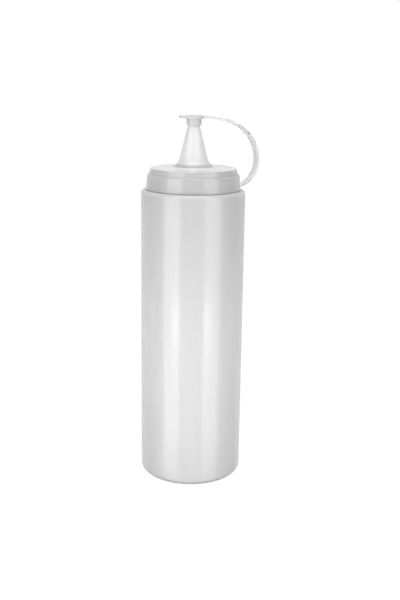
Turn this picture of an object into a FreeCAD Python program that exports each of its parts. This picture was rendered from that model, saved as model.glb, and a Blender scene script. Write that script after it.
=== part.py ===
"""Squeeze bottle with a screw cap, a cone nozzle and a tip cap on a moulded tether.

Millimetres, +Z up. The origin is the centre of the flat base, on the bottle's axis.
Every piece is drawn closed: cap screwed down, tip cap pressed on the nozzle.
The tether lies in a vertical plane through the axis, and is cut into short links that hinge on one
another, so that it can bend.
"""
import FreeCAD, Part
import math
import os

# Bottle
BODY_R = 35.0
WALL = 1.1
BASE_CORNER_R = 4.4
BASE_THICK = 1.8
BASE_GROOVE_R = 25.5
BASE_GROOVE_DEPTH = 0.7
BASE_GROOVE_BEND_R = 3.0
SHOULDER_Z = 199.4
SHOULDER_CORNER_R = 2.5

# Neck and its thread
NECK_R = 27.4
NECK_WALL = 1.6
NECK_FOOT_R = 0.8
NECK_TOP_Z = 211.2
RIM_ROUND_R = 0.4
THREAD_LEAD = 4.23
THREAD_DEPTH = 1.2
THREAD_ROOT_WIDTH = 2.2
THREAD_CREST_WIDTH = 1.2
THREAD_SINK = 0.3
NECK_THREAD_Z = 201.7
NECK_THREAD_TURNS = 1.4
CAP_THREAD_Z = 201.4
CAP_THREAD_TURNS = 1.4
THREAD_PLAY = 0.35
THREAD_SHIFT = 0.2

# Gasket between the neck's rim and the cap's roof
GASKET_OUTER_R = 27.7
GASKET_INNER_R = 24.9
GASKET_THICK = 1.0
GASKET_GAP = 0.05

# Screw cap
SKIRT_GAP = 0.3
SKIRT_R = 31.66
SKIRT_SHOULDER_R = 30.9
SKIRT_SHOULDER_Z = 207.9
STEP_Z = 210.0
STEP_OUTER_R = 30.0
BAND_R = 29.5
BAND_TOP_R = 28.8
POCKET_R = 27.9
POCKET_Z = 209.3
ROOF_TOP_Z = 213.86
ROOF_EDGE_R = 0.6
SHOULDER_BULGE = (STEP_OUTER_R + 0.65, STEP_Z - 0.75)

# Nozzle, moulded with the cap
CONE_LEAN = math.radians(13.55)
CONE_R = 7.95
CONE_R_Z = 225.2
FLARE_R = 9.0
CONE_TOP_Z = 238.25
TIP_FOOT_R = 3.78
TIP_FOOT_Z = 240.8
TIP_R = 3.3
TIP_Z = 245.8
ORIFICE_R = 2.1
BORE_TOP_R = 3.0
BORE_TOP_Z = 238.0
BORE_FOOT_R = 5.8
BORE_FOOT_Z = 218.0
BORE_MOUTH_R = 9.5
BORE_MOUTH_BULGE = (6.6, 214.6)

# Tip cap
DISC_R = 6.7
DISC_BOTTOM_Z = 246.1
DISC_TOP_Z = 247.9
DISC_EDGE_R = 0.35
HOOD_R = 4.95
HOOD_LIP_R = 4.2
HOOD_CORNER_Z = 243.0
HOOD_BOTTOM_Z = 241.3
HOOD_MOUTH_R = 3.95
HOOD_INNER_R = 3.6
HOOD_BULGE = (HOOD_R - 0.12, HOOD_CORNER_Z - 0.95)
PLUG_TIP_R = 1.7
PLUG_ROOT_R = 1.85
PLUG_BOTTOM_Z = 242.3
TAB_REACH = 10.4
TAB_SLOPE = 3.4
TAB_WIDTH = 7.0
TAB_TIP_THICK = 1.2
TAB_CORNER_R = 2.6

# Tether: how it lies in its own plane, out from the axis and up
TETHER_AZIMUTH = math.radians(26.0)
TETHER_WIDTH = 6.0
TETHER_THICK = 1.3
TETHER_ROOT = (35.2, 200.35)
LINK_PITCH = 9.69
LINK_BENDS_DEG = (32.5, 32.0, 28.3, 21.8, 21.0, 18.2, 13.0, 8.0)
LINK_END_GAP = 0.15
STUB_START_R = 30.3


def line(start, end):
    """A straight edge between two (radius, height) points, drawn in the XZ plane."""
    return Part.LineSegment(flat(start), flat(end)).toShape()


def arc(start, middle, end):
    """A round edge through three (radius, height) points, drawn in the XZ plane."""
    return Part.Arc(flat(start), flat(middle), flat(end)).toShape()


def flat(point):
    return FreeCAD.Vector(point[0], 0, point[1])


def on_circle(centre, radius, degrees):
    angle = math.radians(degrees)
    return (centre[0] + radius * math.cos(angle), centre[1] + radius * math.sin(angle))


def corner(centre, radius, first_deg, last_deg):
    """A round corner about a centre, from one direction to another."""
    middle_deg = (first_deg + last_deg) / 2
    return arc(
        on_circle(centre, radius, first_deg),
        on_circle(centre, radius, middle_deg),
        on_circle(centre, radius, last_deg),
    )


def outline(*steps):
    """Join points with straight edges, and put each given edge in where it stands."""
    edges = []
    here = None
    for step in steps:
        is_edge = isinstance(step, Part.Edge)
        start = ends_of(step)[0] if is_edge else step
        if here is not None and math.dist(here, start) > 1e-6:
            edges.append(line(here, start))
        if is_edge:
            edges.append(step)
        here = ends_of(step)[1] if is_edge else step
    first = ends_of(edges[0])[0]
    if math.dist(here, first) > 1e-6:
        edges.append(line(here, first))
    return Part.Wire(edges)


def ends_of(edge):
    """The edge's two ends in the order it was drawn."""
    first = edge.valueAt(edge.FirstParameter)
    last = edge.valueAt(edge.LastParameter)
    return (first.x, first.z), (last.x, last.z)


def turned(wire):
    """Turn a closed half outline about the bottle's axis."""
    axis_point = FreeCAD.Vector(0, 0, 0)
    axis = FreeCAD.Vector(0, 0, 1)
    return Part.Face(wire).revolve(axis_point, axis, 360)


def in_tether_plane(shape):
    """Swing a shape drawn in the XZ plane about the axis, to the tether's own side."""
    shape.rotate(FreeCAD.Vector(0, 0, 0), FreeCAD.Vector(0, 0, 1), math.degrees(TETHER_AZIMUTH))
    return shape


def thread(root_r, outward, first_z, turns, phase_deg):
    """A helical ridge of trapezoid section that stands out of a wall, or into a bore."""
    side = 1 if outward else -1
    inner = root_r - side * THREAD_SINK
    crest = root_r + side * THREAD_DEPTH
    half_root = THREAD_ROOT_WIDTH / 2
    half_crest = THREAD_CREST_WIDTH / 2
    section = Part.makePolygon([
        FreeCAD.Vector(inner, 0, -half_root),
        FreeCAD.Vector(crest, 0, -half_crest),
        FreeCAD.Vector(crest, 0, half_crest),
        FreeCAD.Vector(inner, 0, half_root),
        FreeCAD.Vector(inner, 0, -half_root),
    ])
    helix = Part.makeHelix(THREAD_LEAD, THREAD_LEAD * turns, root_r)
    ridge = Part.Wire(helix).makePipeShell([Part.Wire(section)], True, True)
    ridge.rotate(FreeCAD.Vector(0, 0, 0), FreeCAD.Vector(0, 0, 1), phase_deg)
    ridge.translate(FreeCAD.Vector(0, 0, first_z))
    return ridge


def bottle_body():
    """One shell: flat base with a relief groove, straight wall, shoulder and threaded neck."""
    inside_r = BODY_R - WALL
    mouth_r = NECK_R - NECK_WALL
    base_centre = (BODY_R - BASE_CORNER_R, BASE_CORNER_R)
    shoulder_centre = (BODY_R - SHOULDER_CORNER_R, SHOULDER_Z - SHOULDER_CORNER_R)
    foot_centre = (NECK_R + NECK_FOOT_R, SHOULDER_Z + NECK_FOOT_R)
    under_shoulder_z = SHOULDER_Z - WALL
    section = outline(
        (0, 0),
        corner(base_centre, BASE_CORNER_R, -90, 0),
        corner(shoulder_centre, SHOULDER_CORNER_R, 0, 90),
        corner(foot_centre, NECK_FOOT_R, -90, -180),
        corner((NECK_R - RIM_ROUND_R, NECK_TOP_Z - RIM_ROUND_R), RIM_ROUND_R, 0, 90),
        corner((mouth_r + RIM_ROUND_R, NECK_TOP_Z - RIM_ROUND_R), RIM_ROUND_R, 90, 180),
        corner((mouth_r + NECK_WALL, under_shoulder_z + NECK_WALL), NECK_WALL, 180, 270),
        corner(shoulder_centre, SHOULDER_CORNER_R - WALL, 90, 0),
        corner((inside_r - BASE_CORNER_R, BASE_THICK + BASE_CORNER_R), BASE_CORNER_R, 0, -90),
        (0, BASE_THICK),
    )
    shell = turned(section)
    groove_centre = FreeCAD.Vector(0, 0, BASE_GROOVE_DEPTH - BASE_GROOVE_BEND_R)
    shell = shell.cut(Part.makeTorus(BASE_GROOVE_R, BASE_GROOVE_BEND_R, groove_centre))
    ridge = thread(NECK_R, True, NECK_THREAD_Z, NECK_THREAD_TURNS, 0)
    return shell.fuse(ridge).removeSplitter()


def seal_gasket():
    """A flat soft ring on the neck's rim, held loosely in the pocket under the cap's roof."""
    bottom = NECK_TOP_Z + GASKET_GAP
    top = bottom + GASKET_THICK
    return turned(outline(
        (GASKET_INNER_R, bottom),
        (GASKET_OUTER_R, bottom),
        (GASKET_OUTER_R, top),
        (GASKET_INNER_R, top),
    ))


def cone_r(z):
    """The nozzle's outer radius where it is a straight cone."""
    return CONE_R - (z - CONE_R_Z) * math.tan(CONE_LEAN)


def cap_shell():
    """The cap's skirt, roof and nozzle as one wall of revolution, without thread and tether."""
    skirt_bottom = SHOULDER_Z + SKIRT_GAP
    skirt_inner_r = NECK_R + THREAD_DEPTH + THREAD_PLAY
    roof_under_z = NECK_TOP_Z + 2 * GASKET_GAP + GASKET_THICK
    lean_deg = math.degrees(CONE_LEAN)
    flare_top_z = ROOF_TOP_Z + FLARE_R * (1 - math.sin(CONE_LEAN))
    flare_centre = (cone_r(flare_top_z) + FLARE_R * math.cos(CONE_LEAN), ROOF_TOP_Z + FLARE_R)
    section = outline(
        (skirt_inner_r, skirt_bottom),
        (SKIRT_R, skirt_bottom),
        (SKIRT_SHOULDER_R, SKIRT_SHOULDER_Z),
        arc((SKIRT_SHOULDER_R, SKIRT_SHOULDER_Z), SHOULDER_BULGE, (STEP_OUTER_R, STEP_Z)),
        (BAND_R, STEP_Z),
        (BAND_TOP_R, ROOF_TOP_Z - ROOF_EDGE_R),
        corner((BAND_TOP_R - ROOF_EDGE_R, ROOF_TOP_Z - ROOF_EDGE_R), ROOF_EDGE_R, 0, 90),
        corner(flare_centre, FLARE_R, 270, 180 + lean_deg),
        (cone_r(CONE_TOP_Z), CONE_TOP_Z),
        (TIP_FOOT_R, TIP_FOOT_Z),
        (TIP_R, TIP_Z),
        (ORIFICE_R, TIP_Z),
        (BORE_TOP_R, BORE_TOP_Z),
        arc((BORE_FOOT_R, BORE_FOOT_Z), BORE_MOUTH_BULGE, (BORE_MOUTH_R, roof_under_z)),
        (POCKET_R, roof_under_z),
        (POCKET_R, POCKET_Z),
        (skirt_inner_r, POCKET_Z),
    )
    return turned(section)


def screw_cap():
    """Skirt with its thread, roof, nozzle and the stub that the tether starts from."""
    skirt_inner_r = NECK_R + THREAD_DEPTH + THREAD_PLAY
    below_neck_thread = THREAD_LEAD / 2 - THREAD_SHIFT
    rise = CAP_THREAD_Z - NECK_THREAD_Z + below_neck_thread
    phase_deg = 360 * rise / THREAD_LEAD
    ridge = thread(skirt_inner_r, False, CAP_THREAD_Z, CAP_THREAD_TURNS, phase_deg)
    root_z = TETHER_ROOT[1]
    stub = strap_piece((STUB_START_R, root_z), TETHER_ROOT, False)
    return cap_shell().fuse([ridge, stub]).removeSplitter()


def hinge_points():
    """The tether's hinge points in its own plane, from the cap's edge to the tip cap."""
    points = [TETHER_ROOT]
    heading = 0.0
    for bend_deg in LINK_BENDS_DEG:
        heading += math.radians(bend_deg)
        out, up = points[-1]
        out += LINK_PITCH * math.cos(heading)
        up += LINK_PITCH * math.sin(heading)
        points.append((out, up))
    return points


def strap_piece(start, end, round_start=True):
    """A flat bar between two points of the tether, with a half-round end at each hinge."""
    heading = math.atan2(end[1] - start[1], end[0] - start[0])
    along = (math.cos(heading), math.sin(heading))
    across = (-along[1], along[0])
    half = TETHER_THICK / 2
    inset = half + LINK_END_GAP
    start_inset = inset if round_start else 0

    def point(origin, ahead, side):
        out = origin[0] + along[0] * ahead + across[0] * side
        up = origin[1] + along[1] * ahead + across[1] * side
        return (out, up)

    far_end = arc(
        point(end, -inset, -half),
        point(end, -inset + half, 0),
        point(end, -inset, half),
    )
    steps = [point(start, start_inset, -half), far_end, point(start, start_inset, half)]
    if round_start:
        near_end = arc(steps[2], point(start, start_inset - half, 0), steps[0])
        steps = [far_end, near_end]
    face = Part.Face(outline(*steps))
    face.translate(FreeCAD.Vector(0, -TETHER_WIDTH / 2, 0))
    return in_tether_plane(face.extrude(FreeCAD.Vector(0, TETHER_WIDTH, 0)))


def tip_cap_tab():
    """A thumb tab on the side away from the tether, thinner towards its end."""
    slope_start = TAB_REACH - TAB_SLOPE
    section = outline(
        (-TAB_REACH, DISC_TOP_Z),
        (-TAB_REACH, DISC_TOP_Z - TAB_TIP_THICK),
        (-slope_start, DISC_BOTTOM_Z),
        (-HOOD_INNER_R, DISC_BOTTOM_Z),
        (-HOOD_INNER_R, DISC_TOP_Z),
    )
    face = Part.Face(section)
    face.translate(FreeCAD.Vector(0, -TAB_WIDTH / 2, 0))
    tab = face.extrude(FreeCAD.Vector(0, TAB_WIDTH, 0))
    upright = [e for e in tab.Edges if is_tab_corner(e)]
    return in_tether_plane(tab.makeFillet(TAB_CORNER_R, upright))


def is_tab_corner(edge):
    """True for the two upright edges at the tab's free end."""
    box = edge.BoundBox
    return box.XMax < -TAB_REACH + 0.01 and box.ZLength > TAB_TIP_THICK / 2


def tip_cap():
    """Disc with a hood round the nozzle's tip, a plug in its orifice, a tab and the tether's end."""
    hood_centre_z = DISC_TOP_Z - DISC_EDGE_R
    body = turned(outline(
        (0, PLUG_BOTTOM_Z),
        (PLUG_TIP_R, PLUG_BOTTOM_Z),
        (PLUG_ROOT_R, DISC_BOTTOM_Z),
        (HOOD_INNER_R, DISC_BOTTOM_Z),
        (HOOD_MOUTH_R, HOOD_BOTTOM_Z),
        (HOOD_LIP_R, HOOD_BOTTOM_Z),
        arc((HOOD_LIP_R, HOOD_BOTTOM_Z), HOOD_BULGE, (HOOD_R, HOOD_CORNER_Z)),
        (HOOD_R, DISC_BOTTOM_Z),
        (DISC_R, DISC_BOTTOM_Z),
        corner((DISC_R - DISC_EDGE_R, hood_centre_z), DISC_EDGE_R, 0, 90),
        (0, DISC_TOP_Z),
    ))
    last = hinge_points()[-1]
    stub = strap_piece((HOOD_INNER_R, last[1]), last, False)
    return body.fuse([tip_cap_tab(), stub]).removeSplitter()


def tether_links():
    """The straight links between neighbouring hinge points, in order from the cap."""
    points = hinge_points()
    return [strap_piece(start, end) for start, end in zip(points, points[1:])]


def save(name, shape):
    solids = shape.Solids
    if len(solids) != 1 or not solids[0].isValid():
        raise ValueError(f"{name} isn't one sound solid")
    solids[0].exportStep(f"parts/{name}.step")


def main():
    os.makedirs("parts", exist_ok=True)
    save("bottle_body", bottle_body())
    save("seal_gasket", seal_gasket())
    save("screw_cap", screw_cap())
    for number, link in enumerate(tether_links(), 1):
        save(f"tether_link_{number}", link)
    save("tip_cap", tip_cap())
    for number, (out, up) in enumerate(hinge_points()):
        x = out * math.cos(TETHER_AZIMUTH)
        y = out * math.sin(TETHER_AZIMUTH)
        print(f"tether hinge {number}: {x:.3f} {y:.3f} {up:.3f}")


main()
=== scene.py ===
"""Looks for the squeeze bottle: blown body, screw cap with nozzle, gasket, moulded tether and tip cap."""

import math

import bmesh
import bpy
from mathutils import Matrix, Vector, noise


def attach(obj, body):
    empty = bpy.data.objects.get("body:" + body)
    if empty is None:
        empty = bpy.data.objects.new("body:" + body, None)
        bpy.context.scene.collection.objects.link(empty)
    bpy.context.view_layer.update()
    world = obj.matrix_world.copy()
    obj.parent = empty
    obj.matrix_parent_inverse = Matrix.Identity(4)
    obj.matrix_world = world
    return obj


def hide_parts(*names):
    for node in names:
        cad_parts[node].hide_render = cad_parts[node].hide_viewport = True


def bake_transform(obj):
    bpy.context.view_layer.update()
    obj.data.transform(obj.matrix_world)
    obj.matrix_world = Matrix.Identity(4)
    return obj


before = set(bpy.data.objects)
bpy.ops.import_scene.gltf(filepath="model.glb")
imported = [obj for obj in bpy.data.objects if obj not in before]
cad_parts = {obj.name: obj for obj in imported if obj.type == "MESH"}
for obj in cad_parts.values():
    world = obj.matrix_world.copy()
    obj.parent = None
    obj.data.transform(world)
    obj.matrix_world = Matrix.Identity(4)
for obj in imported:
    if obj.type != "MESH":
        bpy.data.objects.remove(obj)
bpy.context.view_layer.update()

MM = 0.001
AROUND = 256

# Outlines, in millimetres from the axis and up from the base
BODY_R = 34.93
WALL = 1.1
BASE_CORNER_R = 4.4
BASE_THICK = 1.8
BASE_GROOVE_R = 25.5
BASE_GROOVE_DEPTH = 0.7
BASE_GROOVE_HALF = 1.9
SHOULDER_Z = 199.58
SHOULDER_CORNER_R = 2.5
NECK_R = 27.4
NECK_WALL = 1.6
NECK_FOOT_R = 0.8
NECK_TOP_Z = 211.2
RIM_ROUND_R = 0.4
PARTING_HEIGHT = 0.05
PARTING_HALF_WIDTH = 0.35
PARTING_AZIMUTH = math.radians(48.0)
WAVE_HEIGHT = 0.05

THREAD_LEAD = 4.23
THREAD_DEPTH = 1.2
THREAD_ROOT_HALF = 1.1
THREAD_CREST_HALF = 0.6
NECK_THREAD_Z = 201.7
CAP_THREAD_Z = 201.4
THREAD_TURNS = 1.4
THREAD_RUN_OUT = 0.06
CAP_THREAD_PHASE = 2 * math.pi * (CAP_THREAD_Z - NECK_THREAD_Z + THREAD_LEAD / 2 - 0.2) / THREAD_LEAD

SKIRT_BOTTOM_Z = 199.7
SKIRT_INNER_R = 28.95
SKIRT_R = 31.66
SKIRT_SHOULDER_R = 30.9
SKIRT_SHOULDER_Z = 207.9
SKIRT_EDGE_R = 0.3
SKIRT_BULGE = (30.66, 209.25)
STEP_Z = 210.0
STEP_OUTER_R = 30.0
BAND_R = 29.5
BAND_TOP_R = 28.8
POCKET_R = 27.9
POCKET_Z = 209.3
ROOF_UNDER_Z = 212.3
ROOF_TOP_Z = 213.86
ROOF_EDGE_R = 0.6

CONE_LEAN = math.radians(13.55)
CONE_R = 7.95
CONE_R_Z = 225.2
FLARE_R = 9.0
CONE_TOP_Z = 238.25
TIP_FOOT = (3.78, 240.8)
TIP = (3.3, 245.8)
ORIFICE_R = 2.1
BORE_TOP = (3.0, 238.0)
BORE_FOOT = (5.8, 218.0)
BORE_BULGE = (6.6, 214.6)
BORE_MOUTH_R = 9.5

GASKET_INNER_R = 24.9
GASKET_OUTER_R = 27.7
GASKET_BOTTOM_Z = 211.25
GASKET_TOP_Z = 212.25
BEAD_HEIGHT = 0.12

DISC_R = 6.7
DISC_BOTTOM_Z = 246.1
DISC_TOP_Z = 247.9
DISC_EDGE_R = 0.35
HOOD_R = 4.95
HOOD_LIP_R = 4.2
HOOD_CORNER_Z = 243.0
HOOD_BULGE = (4.83, 242.05)
HOOD_BOTTOM_Z = 241.3
HOOD_MOUTH_R = 3.95
HOOD_INNER_R = 3.6
PLUG_TIP_R = 1.7
PLUG_ROOT_R = 1.85
PLUG_BOTTOM_Z = 242.3
TAB_REACH = 10.4
TAB_WIDTH = 7.0
TAB_TIP_THICK = 1.2
TAB_CORNER_R = 2.6
TAB_ROOT = 3.0
TAB_SLOPE = 3.4
REMESH_SIZE = 0.15

TETHER_AZIMUTH = math.radians(26.0)
TETHER_WIDTH = 6.0
TETHER_THICK = 1.3
TETHER_ROUND = 0.12
TETHER_ROOT = (35.2, 200.35)
LINK_PITCH = 9.69
LINK_BENDS_DEG = (32.5, 32.0, 28.3, 21.8, 21.0, 18.2, 13.0, 8.0)
STUB_START = (30.3, 200.35)
LAST_STRIP_END = 4.0
STRAP_FULLNESS = 0.074

# Looks: where the nozzle's painted light begins (the cap's plastic painted near-white for light shining
# through the thin nozzle), how flat the roof must lie to get its painted light from above, and how deep
# the light goes in, in metres
NOZZLE_PAINTED_LIGHT_Z = 216.6
ROOF_PAINTED_LIGHT_FLATNESS = 0.9
GLOW_DEPTH = 0.0025

# Studio: the floor's edges in millimetres, the rest in metres and watts
FLOOR_EDGES = (-3000, 3000, -3000, 6000)
FLOOR_Z = -0.0002
AIM_Z = 0.1
LOW_FILLS = ((-95, 0.055), (-32, 0.09), (32, 0.085), (95, 0.055))
ROOM_FRONT = 0.22
ROOM_BACK = 1.0
ROOM_SIDES = ((0.3, 0.18), (0.62, 0.18), (0.85, 0.9))
CAMERA_PLACE = (0.005519, -0.591627, 0.271706)
CAMERA_DOWN_DEG = 14.0924
CAMERA_ROLL_DEG = 0.78366
CAMERA_LENS = 53.0


def straight(start, end, step=2.0):
    """Points from start up to, but not with, end."""
    count = max(1, round(math.dist(start, end) / step))
    return [
        tuple(a + (b - a) * i / count for a, b in zip(start, end))
        for i in range(count)
    ]


def bend(centre, radius, first_deg, last_deg, count=8):
    """Points of a round corner, both ends included."""
    angles = [math.radians(first_deg + (last_deg - first_deg) * i / count) for i in range(count + 1)]
    return [(centre[0] + radius * math.cos(a), centre[1] + radius * math.sin(a)) for a in angles]


def bulge(start, middle, end, count=10):
    """Points of a soft curve through three points, without its end."""
    control = [2 * m - (s + e) / 2 for s, m, e in zip(start, middle, end)]
    points = []
    for i in range(count):
        t = i / count
        points.append(tuple(
            (1 - t) ** 2 * s + 2 * t * (1 - t) * c + t * t * e
            for s, c, e in zip(start, control, end)
        ))
    return points


def smooth(low, high, value):
    t = min(1.0, max(0.0, (value - low) / (high - low)))
    return t * t * (3 - 2 * t)


def thread_height(angle, z, first_z, phase):
    """How far the helical ridge stands out at this angle and height, from 0 to 1."""
    turn = ((angle - phase) / (2 * math.pi)) % 1.0
    most = 0.0
    while turn <= THREAD_TURNS:
        off = abs(z - first_z - THREAD_LEAD * turn)
        flank = 1 - smooth(THREAD_CREST_HALF, THREAD_ROOT_HALF, off)
        ends = smooth(0, THREAD_RUN_OUT, turn) * smooth(0, THREAD_RUN_OUT, THREAD_TURNS - turn)
        most = max(most, flank * ends)
        turn += 1.0
    return most


def add_mesh(name, points, faces):
    mesh = bpy.data.meshes.new(name)
    mesh.from_pydata([Vector(p) * MM for p in points], [], faces)
    mesh.update()
    obj = bpy.data.objects.new(name, mesh)
    bpy.context.scene.collection.objects.link(obj)
    return obj


def lathe(name, outline, closed, shape=None, around=AROUND):
    """Turn an outline about the axis. shape moves each point: (r, z, angle) to (r, z)."""
    points = []
    rings = []
    for r, z in outline:
        if r < 1e-6:
            rings.append([len(points)])
            points.append((0, 0, z))
            continue
        ring = []
        for i in range(around):
            angle = 2 * math.pi * i / around
            here_r, here_z = shape(r, z, angle) if shape else (r, z)
            ring.append(len(points))
            points.append((here_r * math.cos(angle), here_r * math.sin(angle), here_z))
        rings.append(ring)
    pairs = list(zip(rings, rings[1:]))
    if closed:
        pairs.append((rings[-1], rings[0]))
    faces = []
    for low, high in pairs:
        for i in range(around):
            j = (i + 1) % around
            if len(low) == 1 and len(high) == 1:
                continue
            if len(low) == 1:
                faces.append((low[0], high[j], high[i]))
            elif len(high) == 1:
                faces.append((low[i], low[j], high[0]))
            else:
                faces.append((low[i], low[j], high[j], high[i]))
    return add_mesh(name, points, faces)


def shade(obj, angle_deg=40):
    for polygon in obj.data.polygons:
        polygon.use_smooth = True
    bpy.context.view_layer.objects.active = obj
    for other in bpy.context.selected_objects:
        other.select_set(False)
    obj.select_set(True)
    bpy.ops.object.shade_smooth_by_angle(angle=math.radians(angle_deg))
    return obj


def fix_normals(obj):
    mesh = bmesh.new()
    mesh.from_mesh(obj.data)
    bmesh.ops.recalc_face_normals(mesh, faces=mesh.faces)
    mesh.to_mesh(obj.data)
    mesh.free()


def apply_all(obj):
    bpy.context.view_layer.objects.active = obj
    for modifier in list(obj.modifiers):
        bpy.ops.object.modifier_apply(modifier=modifier.name)


# ---------------------------------------------------------------- bottle
def shape_bottle(r, z, angle):
    """The blown wall's faint unevenness, its parting line, and the thread on the neck."""
    if abs(r - NECK_R) < 1e-6:
        return r + THREAD_DEPTH * thread_height(angle, z, NECK_THREAD_Z, 0.0), z
    if r > BODY_R - SHOULDER_CORNER_R - 0.01:
        across = min(
            abs(math.remainder(angle - PARTING_AZIMUTH, 2 * math.pi)),
            abs(math.remainder(angle - PARTING_AZIMUTH - math.pi, 2 * math.pi)),
        ) * r
        ridge = PARTING_HEIGHT * (1 - smooth(0, PARTING_HALF_WIDTH, across))
        place = Vector((math.cos(angle), math.sin(angle), z / 60))
        wave = WAVE_HEIGHT * noise.noise(place * 1.6)
        return r + ridge + wave * smooth(3, 20, z) * smooth(3, 20, SHOULDER_Z - z), z
    return r, z


def make_bottle():
    inside_r = BODY_R - WALL
    mouth_r = NECK_R - NECK_WALL
    base_centre = (BODY_R - BASE_CORNER_R, BASE_CORNER_R)
    shoulder_centre = (BODY_R - SHOULDER_CORNER_R, SHOULDER_Z - SHOULDER_CORNER_R)
    groove_in = (BASE_GROOVE_R - BASE_GROOVE_HALF, 0)
    groove_out = (BASE_GROOVE_R + BASE_GROOVE_HALF, 0)
    groove_deep = (BASE_GROOVE_R, BASE_GROOVE_DEPTH)
    foot = bend((NECK_R + NECK_FOOT_R, SHOULDER_Z + NECK_FOOT_R), NECK_FOOT_R, -90, -180, 6)
    outline = [(0, 0)]
    outline += straight((0.5, 0), groove_in)
    outline += bulge(groove_in, groove_deep, groove_out)
    outline += straight(groove_out, (base_centre[0], 0))
    outline += bend(base_centre, BASE_CORNER_R, -90, 0, 14)
    outline += straight((BODY_R, BASE_CORNER_R), (BODY_R, shoulder_centre[1]), 2.5)[1:]
    outline += bend(shoulder_centre, SHOULDER_CORNER_R, 0, 90, 12)
    outline += foot[:-1]
    outline += straight((NECK_R, SHOULDER_Z + NECK_FOOT_R), (NECK_R, NECK_TOP_Z - RIM_ROUND_R), 0.13)
    outline += bend((NECK_R - RIM_ROUND_R, NECK_TOP_Z - RIM_ROUND_R), RIM_ROUND_R, 0, 90, 4)[1:]
    outline += bend((mouth_r + RIM_ROUND_R, NECK_TOP_Z - RIM_ROUND_R), RIM_ROUND_R, 90, 180, 4)
    under = SHOULDER_Z - WALL
    outline += bend((mouth_r + NECK_WALL, under + NECK_WALL), NECK_WALL, 180, 270, 8)
    outline += bend(shoulder_centre, SHOULDER_CORNER_R - WALL, 90, 0, 8)
    outline += straight((inside_r, shoulder_centre[1]), (inside_r, BASE_THICK + BASE_CORNER_R), 6.0)[1:]
    outline += bend((inside_r - BASE_CORNER_R, BASE_THICK + BASE_CORNER_R), BASE_CORNER_R, 0, -90, 10)
    outline += [(12, BASE_THICK), (0, BASE_THICK)]
    return shade(lathe("bottle_shell", outline, False, shape_bottle))


# ---------------------------------------------------------------- cap with nozzle
def shape_cap(r, z, angle):
    if abs(r - SKIRT_INNER_R) < 1e-6:
        return r - THREAD_DEPTH * thread_height(angle, z, CAP_THREAD_Z, CAP_THREAD_PHASE), z
    return r, z


def cone_r(z):
    return CONE_R - (z - CONE_R_Z) * math.tan(CONE_LEAN)


def make_cap():
    lean_deg = math.degrees(CONE_LEAN)
    flare_top_z = ROOF_TOP_Z + FLARE_R * (1 - math.sin(CONE_LEAN))
    flare_centre = (cone_r(flare_top_z) + FLARE_R * math.cos(CONE_LEAN), ROOF_TOP_Z + FLARE_R)
    edge_r = SKIRT_R - SKIRT_EDGE_R
    outline = straight((SKIRT_INNER_R, SKIRT_BOTTOM_Z), (edge_r, SKIRT_BOTTOM_Z), 0.8)
    outline += bend((edge_r, SKIRT_BOTTOM_Z + SKIRT_EDGE_R), SKIRT_EDGE_R, -90, 0, 4)
    outline += straight((SKIRT_R - 0.03, SKIRT_BOTTOM_Z + 0.7), (SKIRT_SHOULDER_R, SKIRT_SHOULDER_Z), 1.0)
    outline += bulge((SKIRT_SHOULDER_R, SKIRT_SHOULDER_Z), SKIRT_BULGE, (STEP_OUTER_R, STEP_Z))
    outline += [(STEP_OUTER_R, STEP_Z), (BAND_R + 0.15, STEP_Z), (BAND_R, STEP_Z + 0.15)]
    outline += straight((BAND_R - 0.03, STEP_Z + 0.4), (BAND_TOP_R, ROOF_TOP_Z - ROOF_EDGE_R), 0.8)
    outline += bend((BAND_TOP_R - ROOF_EDGE_R, ROOF_TOP_Z - ROOF_EDGE_R), ROOF_EDGE_R, 0, 90, 6)
    outline += straight((BAND_TOP_R - 1.4, ROOF_TOP_Z), (flare_centre[0], ROOF_TOP_Z), 1.5)
    outline += bend(flare_centre, FLARE_R, 270, 180 + lean_deg, 18)
    above_flare_z = flare_top_z + 0.8
    outline += straight((cone_r(above_flare_z), above_flare_z), (cone_r(CONE_TOP_Z), CONE_TOP_Z), 1.5)
    outline += straight((cone_r(CONE_TOP_Z), CONE_TOP_Z), TIP_FOOT, 0.6)
    outline += straight(TIP_FOOT, (TIP[0] + 0.02, TIP[1] - 0.3), 0.8)
    outline += [(TIP[0] - 0.02, TIP[1] - 0.12), (TIP[0] - 0.2, TIP[1])]
    outline += [(ORIFICE_R + 0.15, TIP[1]), (ORIFICE_R, TIP[1] - 0.15)]
    outline += straight((ORIFICE_R + 0.02, TIP[1] - 0.5), BORE_TOP, 1.2)
    outline += straight(BORE_TOP, BORE_FOOT, 2.0)
    outline += bulge(BORE_FOOT, BORE_BULGE, (BORE_MOUTH_R, ROOF_UNDER_Z))
    outline += straight((BORE_MOUTH_R, ROOF_UNDER_Z), (POCKET_R, ROOF_UNDER_Z), 2.5)
    outline += straight((POCKET_R, ROOF_UNDER_Z), (POCKET_R, POCKET_Z), 0.8)
    outline += [(POCKET_R, POCKET_Z)]
    outline += straight((SKIRT_INNER_R, POCKET_Z), (SKIRT_INNER_R, SKIRT_BOTTOM_Z), 0.13)
    return shade(lathe("cap_and_nozzle", outline, True, shape_cap), 50)


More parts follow.
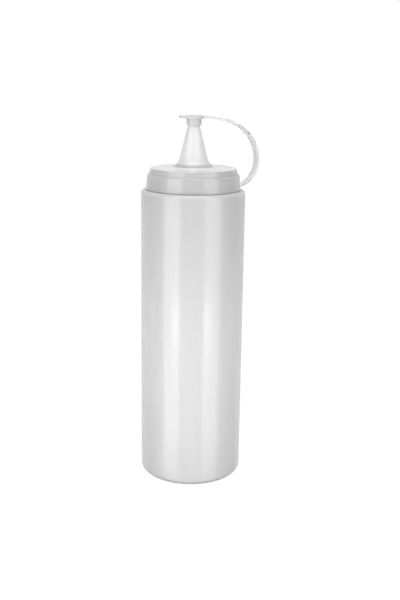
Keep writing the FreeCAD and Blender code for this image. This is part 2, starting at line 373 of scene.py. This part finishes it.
# ---------------------------------------------------------------- gasket
def make_gasket():
    middle = (GASKET_INNER_R + GASKET_OUTER_R) / 2
    low = GASKET_BOTTOM_Z + BEAD_HEIGHT
    high = GASKET_TOP_Z - BEAD_HEIGHT
    outline = [(GASKET_INNER_R, low + 0.15), (GASKET_INNER_R + 0.15, low)]
    outline += bulge((middle - 0.5, low), (middle, GASKET_BOTTOM_Z), (middle + 0.5, low), 6)
    outline += [(middle + 0.5, low), (GASKET_OUTER_R - 0.15, low), (GASKET_OUTER_R, low + 0.15)]
    outline += [(GASKET_OUTER_R, high - 0.15), (GASKET_OUTER_R - 0.15, high)]
    outline += bulge((middle + 0.5, high), (middle, GASKET_TOP_Z), (middle - 0.5, high), 6)
    outline += [(middle - 0.5, high), (GASKET_INNER_R + 0.15, high), (GASKET_INNER_R, high - 0.15)]
    return shade(lathe("gasket_ring", outline, True), 35)


# ---------------------------------------------------------------- tip cap
def in_tether_plane(out, across, up):
    """A point given out from the axis, across the strap and up, in the row frame."""
    c, s = math.cos(TETHER_AZIMUTH), math.sin(TETHER_AZIMUTH)
    return (out * c - across * s, out * s + across * c, up)


def make_tab():
    """The thumb tab: a plate with two round corners, thinner towards its end."""
    half = TAB_WIDTH / 2
    rim = [(-TAB_ROOT, -half)]
    rim += bend((-TAB_REACH + TAB_CORNER_R, -half + TAB_CORNER_R), TAB_CORNER_R, -90, -180, 10)
    rim += bend((-TAB_REACH + TAB_CORNER_R, half - TAB_CORNER_R), TAB_CORNER_R, 180, 90, 10)
    rim += [(-TAB_ROOT, half)]
    slope_start = TAB_REACH - TAB_SLOPE

    def under(out):
        thin = DISC_TOP_Z - TAB_TIP_THICK
        return DISC_BOTTOM_Z + (thin - DISC_BOTTOM_Z) * smooth(slope_start, TAB_REACH, -out)

    points = [in_tether_plane(o, a, DISC_TOP_Z) for o, a in rim]
    points += [in_tether_plane(o, a, under(o)) for o, a in rim]
    count = len(rim)
    faces = [tuple(range(count))[::-1], tuple(range(count, 2 * count))]
    for i in range(count):
        j = (i + 1) % count
        faces.append((i, j, count + j, count + i))
    return add_mesh("tab", points, faces)


def make_tip_cap():
    outline = [(0, PLUG_BOTTOM_Z), (PLUG_TIP_R - 0.2, PLUG_BOTTOM_Z), (PLUG_TIP_R, PLUG_BOTTOM_Z + 0.2)]
    outline += [(PLUG_ROOT_R, DISC_BOTTOM_Z), (HOOD_INNER_R, DISC_BOTTOM_Z)]
    outline += [(HOOD_MOUTH_R, HOOD_BOTTOM_Z)]
    outline += bulge((HOOD_LIP_R, HOOD_BOTTOM_Z), HOOD_BULGE, (HOOD_R, HOOD_CORNER_Z), 6)
    outline += [(HOOD_R, HOOD_CORNER_Z), (HOOD_R, DISC_BOTTOM_Z)]
    edge_r = DISC_R - DISC_EDGE_R
    outline += bend((edge_r, DISC_BOTTOM_Z + DISC_EDGE_R), DISC_EDGE_R, -90, 0, 4)
    outline += bend((edge_r, DISC_TOP_Z - DISC_EDGE_R), DISC_EDGE_R, 0, 90, 4)
    outline += [(0, DISC_TOP_Z)]
    cap = lathe("tip_cap_moulding", outline, False, None, 128)
    tab = make_tab()
    for piece in (cap, tab):
        fix_normals(piece)
    union = cap.modifiers.new("join", "BOOLEAN")
    union.operation = "UNION"
    union.solver = "EXACT"
    union.object = tab
    apply_all(cap)
    bpy.data.objects.remove(tab)
    remesh = cap.modifiers.new("remesh", "REMESH")
    remesh.mode = "VOXEL"
    remesh.voxel_size = REMESH_SIZE * MM
    soften = cap.modifiers.new("soften", "SMOOTH")
    soften.factor = 0.5
    soften.iterations = 4
    apply_all(cap)
    return shade(cap, 180)


# ---------------------------------------------------------------- tether
def hinge_points():
    points = [TETHER_ROOT]
    heading = 0.0
    for bend_deg in LINK_BENDS_DEG:
        heading += math.radians(bend_deg)
        out, up = points[-1]
        points.append((out + LINK_PITCH * math.cos(heading), up + LINK_PITCH * math.sin(heading)))
    return points


def strap_section():
    """The strap's section: a flat bar with rounded long edges, as (across, side) points."""
    half_w = TETHER_WIDTH / 2 - TETHER_ROUND
    half_t = TETHER_THICK / 2 - TETHER_ROUND
    corners = ((half_w, half_t, 0), (-half_w, half_t, 90), (-half_w, -half_t, 180), (half_w, -half_t, 270))
    section = []
    for x, y, first in corners:
        section += bend((x, y), TETHER_ROUND, first, first + 90, 5)
    return section


def strip(name, start, control, end, closed_start, closed_end, steps=18):
    """One stretch of the strap along a soft curve from start to end."""
    section = strap_section()
    points = []
    for i in range(steps + 1):
        t = i / steps
        here = [(1 - t) ** 2 * s + 2 * t * (1 - t) * c + t * t * e for s, c, e in zip(start, control, end)]
        ahead = [2 * (1 - t) * (c - s) + 2 * t * (e - c) for s, c, e in zip(start, control, end)]
        length = math.hypot(*ahead)
        side = (-ahead[1] / length, ahead[0] / length)
        for across, off in section:
            points.append(in_tether_plane(here[0] + side[0] * off, across, here[1] + side[1] * off))
    count = len(section)
    faces = []
    for i in range(steps):
        for j in range(count):
            k = (j + 1) % count
            a, b = i * count, (i + 1) * count
            faces.append((a + j, b + j, b + k, a + k))
    if closed_start:
        faces.append(tuple(range(count)))
    if closed_end:
        faces.append(tuple(range(steps * count, (steps + 1) * count))[::-1])
    obj = add_mesh(name, points, faces)
    fix_normals(obj)
    return shade(obj, 12)


def make_tether():
    """Nine stretches, each bending about one hinge, that meet in the middle of the links."""
    hinges = hinge_points()
    controls = [hinges[0]] + [
        tuple(b + STRAP_FULLNESS * (2 * b - a - c) for a, b, c in zip(before, here, after))
        for before, here, after in zip(hinges, hinges[1:], hinges[2:])
    ] + [hinges[-1]]
    middles = [tuple((a + b) / 2 for a, b in zip(p, q)) for p, q in zip(controls, controls[1:])]
    last_up = hinges[-1][1]
    starts = [STUB_START] + middles
    ends = middles + [(LAST_STRIP_END, last_up)]
    strips = []
    for number, (start, control, end) in enumerate(zip(starts, controls, ends)):
        name = f"tether_strip_{number}"
        piece = strip(name, start, control, end, number == 0, number == len(hinges) - 1)
        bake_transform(piece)
        if number:
            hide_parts(f"tether_link_{number}")
        strips.append(piece)
    return strips


# ---------------------------------------------------------------- materials
def plastic(name, colour, rough, through, grain, cloud=0.02, ior=1.5, glow=0.0):
    """Cloudy moulded plastic: soft gloss with fine grain and a faint uneven milkiness."""
    material = bpy.data.materials.new(name)
    material.use_nodes = True
    nodes, links = material.node_tree.nodes, material.node_tree.links
    shader = nodes["Principled BSDF"]
    place = nodes.new("ShaderNodeTexCoord")
    clouds = nodes.new("ShaderNodeTexNoise")
    clouds.inputs["Scale"].default_value = 28.0
    clouds.inputs["Detail"].default_value = 3.0
    tint = nodes.new("ShaderNodeMapRange")
    tint.inputs["To Min"].default_value = 1 - cloud
    tint.inputs["To Max"].default_value = 1 + cloud
    mix = nodes.new("ShaderNodeMix")
    mix.data_type = "RGBA"
    mix.blend_type = "MULTIPLY"
    mix.inputs["Factor"].default_value = 1.0
    mix.inputs["A"].default_value = (*colour, 1)
    gloss = nodes.new("ShaderNodeMapRange")
    gloss.inputs["To Min"].default_value = rough - 0.04
    gloss.inputs["To Max"].default_value = rough + 0.04
    fine = nodes.new("ShaderNodeTexNoise")
    fine.inputs["Scale"].default_value = 900.0
    fine.inputs["Detail"].default_value = 4.0
    bump = nodes.new("ShaderNodeBump")
    bump.inputs["Strength"].default_value = grain
    bump.inputs["Distance"].default_value = 0.0001
    links.new(place.outputs["Object"], clouds.inputs["Vector"])
    links.new(place.outputs["Object"], fine.inputs["Vector"])
    links.new(clouds.outputs["Fac"], tint.inputs["Value"])
    links.new(clouds.outputs["Fac"], gloss.inputs["Value"])
    links.new(tint.outputs["Result"], mix.inputs["B"])
    links.new(mix.outputs["Result"], shader.inputs["Base Color"])
    links.new(gloss.outputs["Result"], shader.inputs["Roughness"])
    links.new(fine.outputs["Fac"], bump.inputs["Height"])
    links.new(bump.outputs["Normal"], shader.inputs["Normal"])
    shader.inputs["Transmission Weight"].default_value = through
    shader.inputs["IOR"].default_value = ior
    shader.inputs["Subsurface Weight"].default_value = glow
    shader.inputs["Subsurface Radius"].default_value = (1.0, 1.0, 1.0)
    shader.inputs["Subsurface Scale"].default_value = GLOW_DEPTH
    return material


BOTTLE_LOOK = plastic("milky_bottle_plastic", (0.725, 0.725, 0.725), 0.17, 0.26, 0.10, 0.02, 1.5, 0.4)
CAP_LOOK = plastic("milky_cap_plastic", (0.72, 0.72, 0.72), 0.13, 0.36, 0.10, 0.02, 1.5, 0.4)
TETHER_LOOK = plastic("milky_tether_plastic", (0.95, 0.95, 0.95), 0.45, 0.60, 0.0, 0.005, 1.06, 0.9)
TIP_CAP_LOOK = plastic("milky_tip_cap_plastic", (0.78, 0.78, 0.78), 0.45, 0.30, 0.02)
# The nozzle's copy of the cap plastic, painted near-white: painted light standing for light shining
# through the thin nozzle.
NOZZLE_PAINTED_LIGHT_LOOK = plastic("nozzle_plastic_painted_light", (0.995, 0.995, 0.995), 0.24, 0.30, 0.05, 0.003)
# The roof's copy of the cap plastic, painted lighter: painted light standing for the light falling on the
# up-facing roof.
ROOF_PAINTED_LIGHT_LOOK = plastic("roof_plastic_painted_light", (0.96, 0.96, 0.96), 0.13, 0.20, 0.08, 0.005)
GASKET_LOOK = plastic("soft_gasket_foam", (0.80, 0.80, 0.79), 0.75, 0.0, 0.5)


def finish_piece(obj, body, node, material):
    obj.data.materials.clear()
    obj.data.materials.append(material)
    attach(obj, body)
    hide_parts(node)


for maker, body, node, slot, look in (
    (make_bottle, "bottle", "bottle_body", "bottle_wall", BOTTLE_LOOK),
    (make_gasket, "seal", "seal_gasket", "gasket_foam", GASKET_LOOK),
    (make_cap, "cap", "screw_cap", "cap_plastic", CAP_LOOK),
    (make_tip_cap, "tip", "tip_cap", "tether_plastic", TIP_CAP_LOOK),
):
    made = maker()
    fix_normals(made)
    finish_piece(made, body, node, look)
    if node == "screw_cap":
        made.data.materials.append(NOZZLE_PAINTED_LIGHT_LOOK)
        made.data.materials.append(ROOF_PAINTED_LIGHT_LOOK)
        for polygon in made.data.polygons:
            height = polygon.center.z / MM
            # Painted light: faces above this height get the nozzle's near-white copy of the cap plastic.
            if height > NOZZLE_PAINTED_LIGHT_Z:
                polygon.material_index = 1
            # Painted light: up-facing roof faces get the lighter copy of the cap plastic.
            elif height > ROOF_TOP_Z - ROOF_EDGE_R / 2 and polygon.normal.z > ROOF_PAINTED_LIGHT_FLATNESS:
                polygon.material_index = 2

for piece in make_tether():
    piece.data.materials.append(TETHER_LOOK)


# ---------------------------------------------------------------- floor, light and camera
def floor():
    left, right, front, back = FLOOR_EDGES
    corners = [(left, front, 0), (right, front, 0), (right, back, 0), (left, back, 0)]
    obj = add_mesh("floor", corners, [(0, 1, 2, 3)])
    material = bpy.data.materials.new("pale_floor")
    material.use_nodes = True
    shader = material.node_tree.nodes["Principled BSDF"]
    shader.inputs["Base Color"].default_value = (0.06, 0.06, 0.06, 1)
    shader.inputs["Roughness"].default_value = 0.9
    shader.inputs["Specular IOR Level"].default_value = 0.0
    shader.inputs["Emission Color"].default_value = (1, 1, 1, 1)
    shader.inputs["Emission Strength"].default_value = 0.985
    obj.data.materials.append(material)
    obj.location.z = FLOOR_Z
    obj.visible_diffuse = False
    obj.visible_glossy = False
    obj.visible_transmission = False
    obj.visible_shadow = False


def softbox(name, azimuth_deg, distance, height, size, power, mirrored=True):
    """A tall soft light that faces the bottle; azimuth counts from the viewer, positive to the right."""
    light = bpy.data.lights.new(name, "AREA")
    light.shape = "RECTANGLE"
    light.size = size[0]
    light.size_y = size[1]
    light.energy = power
    obj = bpy.data.objects.new(name, light)
    angle = math.radians(azimuth_deg)
    obj.location = (distance * math.sin(angle), -distance * math.cos(angle), height)
    aim = Vector((0, 0, AIM_Z)) - obj.location
    obj.rotation_euler = aim.to_track_quat("-Z", "Y").to_euler()
    obj.visible_camera = False
    obj.visible_glossy = mirrored
    bpy.context.scene.collection.objects.link(obj)


def studio_world():
    """White behind for the camera; for everything else a room with dim sides and a bright wall behind."""
    world = bpy.data.worlds.new("studio")
    bpy.context.scene.world = world
    world.use_nodes = True
    nodes, links = world.node_tree.nodes, world.node_tree.links
    nodes.clear()
    out = nodes.new("ShaderNodeOutputWorld")
    mix = nodes.new("ShaderNodeMixShader")
    path = nodes.new("ShaderNodeLightPath")
    white = nodes.new("ShaderNodeBackground")
    white.inputs["Color"].default_value = (1, 1, 1, 1)
    room = nodes.new("ShaderNodeBackground")
    place = nodes.new("ShaderNodeTexCoord")
    split = nodes.new("ShaderNodeSeparateXYZ")
    walls = nodes.new("ShaderNodeFloatCurve")
    curve = walls.mapping.curves[0]
    curve.points[0].location = (0.0, ROOM_FRONT)
    curve.points[1].location = (1.0, ROOM_BACK)
    for facing, level in ROOM_SIDES:
        curve.points.new(facing, level)
    walls.mapping.update()
    facing = nodes.new("ShaderNodeMapRange")
    facing.inputs["From Min"].default_value = -1.0
    links.new(place.outputs["Generated"], split.inputs["Vector"])
    links.new(split.outputs["Y"], facing.inputs["Value"])
    links.new(facing.outputs["Result"], walls.inputs["Value"])
    links.new(walls.outputs["Value"], room.inputs["Strength"])
    links.new(path.outputs["Is Camera Ray"], mix.inputs["Fac"])
    links.new(room.outputs["Background"], mix.inputs[1])
    links.new(white.outputs["Background"], mix.inputs[2])
    links.new(mix.outputs["Shader"], out.inputs["Surface"])


floor()
studio_world()
softbox("key_left", -46, 1.2, 0.2, (0.85, 1.6), 11.5)
softbox("key_right", 45, 1.2, 0.2, (0.85, 1.6), 10.0)
for fill_azimuth, fill_power in LOW_FILLS:
    softbox(f"low_fill_{fill_azimuth}", fill_azimuth, 0.19, 0.07, (0.05, 0.04), fill_power, False)
softbox("top", 0, 0.25, 1.5, (1.0, 1.0), 11.5)


def add_camera():
    data = bpy.data.cameras.new("camera")
    data.sensor_width = 36.0
    data.lens = CAMERA_LENS
    obj = bpy.data.objects.new("camera", data)
    tilt = Matrix.Rotation(math.radians(90 - CAMERA_DOWN_DEG), 4, "X")
    roll = Matrix.Rotation(math.radians(CAMERA_ROLL_DEG), 4, "Z")
    obj.matrix_world = Matrix.Translation(CAMERA_PLACE) @ tilt @ roll
    bpy.context.scene.collection.objects.link(obj)
    bpy.context.scene.camera = obj


add_camera()
bpy.context.scene.view_settings.view_transform = "Standard"
